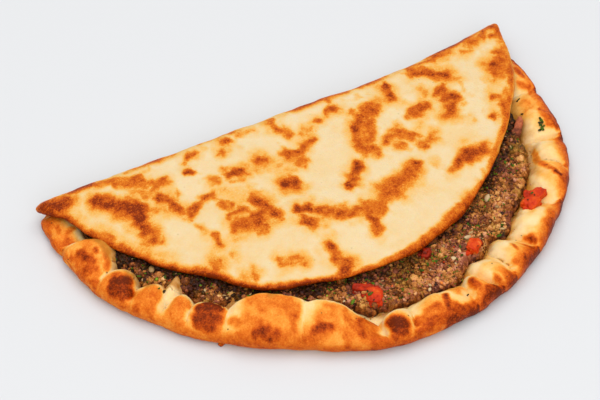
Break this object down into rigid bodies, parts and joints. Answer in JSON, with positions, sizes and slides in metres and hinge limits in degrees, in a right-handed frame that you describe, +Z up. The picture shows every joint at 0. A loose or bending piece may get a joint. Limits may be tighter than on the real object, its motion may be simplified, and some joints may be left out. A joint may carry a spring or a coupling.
{
  "type": "meat fatayer",
  "caption": "Folded round flatbread with a pinched, pleated front rim, scorched flap and an open crescent of spiced minced meat with diced tomato and parsley.",
  "frame": {"origin": "centre of the box around the bread, on the surface that it lies on", "axes": "+X along the fold towards the right tip, +Y from the open front towards the fold, +Z up"},
  "size_m": [0.2974, 0.1792, 0.02],
  "materials": {
    "baked_dough": "matte",
    "minced_meat": "satin",
    "tomato": "gloss",
    "herbs": "satin",
    "onion": "satin"
  },
  "bodies": {
    "root": {"dough": "baked_dough", "meat_filling": "minced_meat", "tomato_1": "tomato", "tomato_2": "tomato", "tomato_3": "tomato", "tomato_4": "tomato", "tomato_5": "tomato"}
  },
  "joints": []
}
